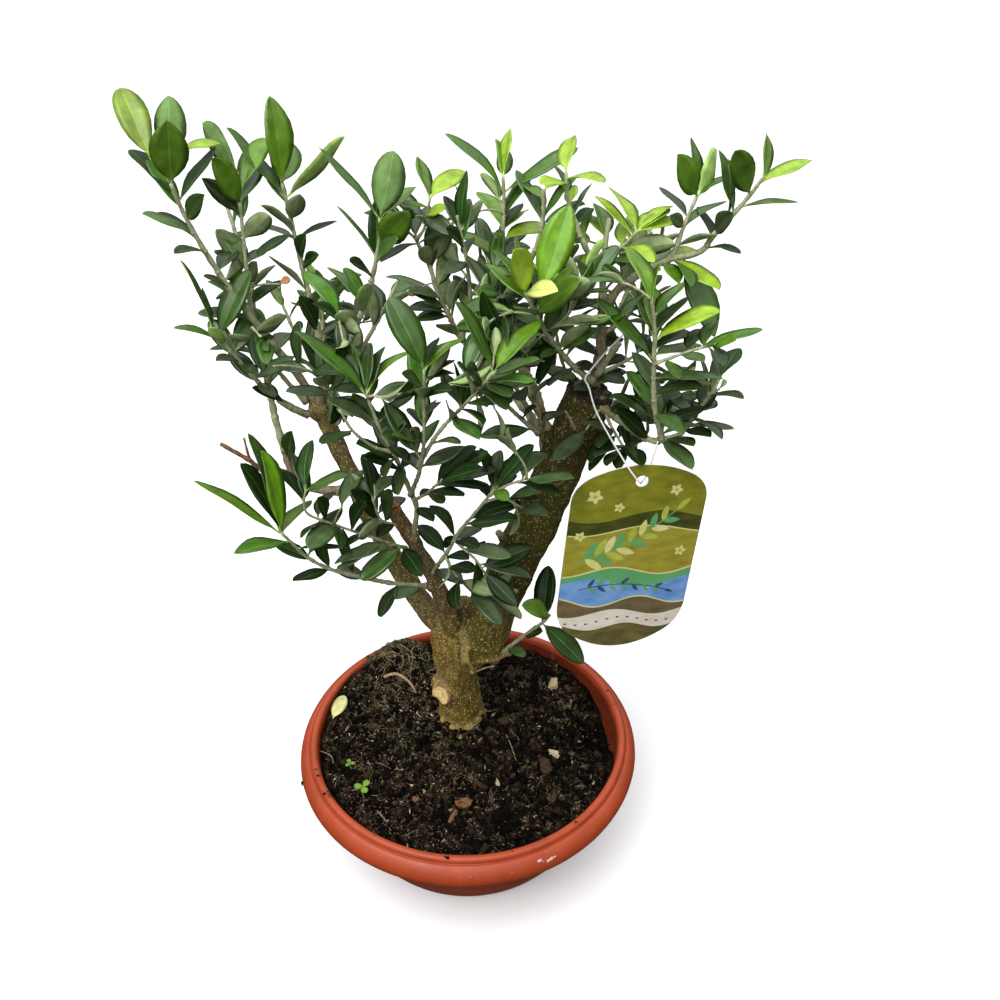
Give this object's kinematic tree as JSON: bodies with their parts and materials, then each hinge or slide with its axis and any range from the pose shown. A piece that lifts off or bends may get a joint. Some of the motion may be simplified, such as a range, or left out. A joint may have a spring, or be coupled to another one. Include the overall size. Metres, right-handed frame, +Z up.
{
  "type": "potted olive bonsai",
  "caption": "Small olive tree trained as a bonsai, with a forked speckled trunk, upright leafy shoots, a shallow round terracotta-coloured bowl of soil and a blank card tag on a thread.",
  "frame": {"origin": "centre of the bowl's flat underside", "axes": "+Z up; -Y is the side that the tag hangs on and that the picture shows; +X is to the right seen from there"},
  "size_m": [0.3278, 0.2446, 0.472],
  "materials": {
    "pot": "satin moulded plastic",
    "soil": "moist crumbly compost with moss",
    "bark": "olive-brown bark with pale specks",
    "twig": "smooth grey-green young bark",
    "dead_wood": "dry reddish twig",
    "foliage": "leathery leaves, glossy above and matt below",
    "tag": "glossy coated card",
    "thread": "thin white thread"
  },
  "bodies": {
    "root": {"pot": "pot", "soil": "soil", "trunk": "bark", "limb_right": "bark", "limb_left": "bark", "limb_middle": "bark", "bough_left_branch": "twig", "bough_left_tip": "twig", "bough_left_top": "twig", "bough_left_side": "twig", "bough_centre_left": "twig", "bough_back_left": "twig", "bough_right_upright": "twig", "bough_right_tip": "twig", "bough_right_front": "twig", "bough_right_side": "twig", "bough_centre": "twig", "bough_top_centre": "twig", "bough_back_centre": "twig", "bough_back_right": "twig", "bough_low_left": "twig", "bough_low_centre": "twig", "bough_front_left": "twig", "shoot_base": "twig", "twig_dead": "dead_wood", "tag_card": "tag", "tag_thread": "thread", "foliage_left_tip": "foliage", "foliage_left_rear": "foliage", "foliage_left_top": "foliage", "foliage_left_side": "foliage", "foliage_left_inner": "foliage", "foliage_centre_left": "foliage", "foliage_centre": "foliage", "foliage_front_left": "foliage", "foliage_front": "foliage", "foliage_low_left": "foliage", "foliage_low_centre": "foliage", "foliage_inner_right": "foliage", "foliage_top_centre": "foliage", "foliage_right_front": "foliage", "foliage_right_top": "foliage", "foliage_right_tip": "foliage", "foliage_right_high": "foliage", "foliage_right_side": "foliage", "foliage_right_low": "foliage", "foliage_right_under": "foliage", "foliage_back_left": "foliage", "foliage_back_middle": "foliage", "foliage_back_centre": "foliage", "foliage_back_right": "foliage", "foliage_base": "foliage"}
  },
  "joints": []
}
